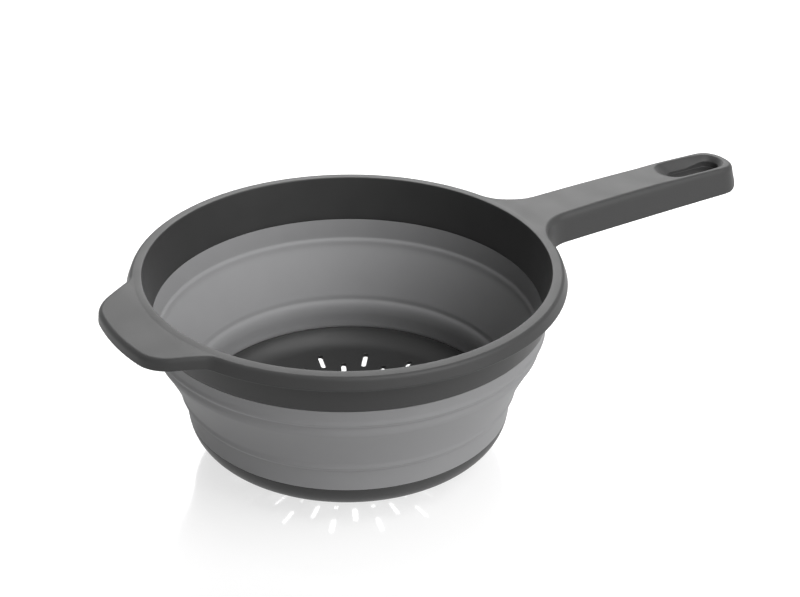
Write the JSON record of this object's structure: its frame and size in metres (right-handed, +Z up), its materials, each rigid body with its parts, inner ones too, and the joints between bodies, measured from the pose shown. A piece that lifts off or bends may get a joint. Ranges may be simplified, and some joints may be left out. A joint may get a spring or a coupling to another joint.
{
  "type": "collapsible colander",
  "caption": "Collapsible kitchen colander with a rigid rim, a long handle with a hanging slot, a lifting tab, a folding soft wall and a shallow base with radial drain slots.",
  "frame": {"origin": "On the table, under the middle of the overall length. The bowl's axis is upright at x = -0.0659, y = 0.", "axes": "+X along the handle, +Z up out of the bowl's mouth, +Y completes a right-handed frame."},
  "size_m": [0.3984, 0.23, 0.1102],
  "materials": {
    "rigid_dark_grey": "satin moulded polypropylene",
    "soft_light_grey": "matt moulded silicone"
  },
  "bodies": {
    "frame": {"rim_frame": "rigid_dark_grey", "wall_upper_band": "soft_light_grey"},
    "middle_band": {"wall_middle_band": "soft_light_grey"},
    "base": {"base_strainer": "rigid_dark_grey", "wall_lower_band": "soft_light_grey"}
  },
  "joints": [
    {"name": "base_slide", "type": "slide", "parent": "frame", "child": "base", "axis": [0, 0, 1], "range_m": [0, 0.068]},
    {"name": "band_slide", "type": "slide", "parent": "frame", "child": "middle_band", "axis": [0, 0, 1], "range_m": [0, 0.034]}
  ],
  "couplings": [
    {"joint": "band_slide", "follows": "base_slide", "ratio": 0.5}
  ]
}
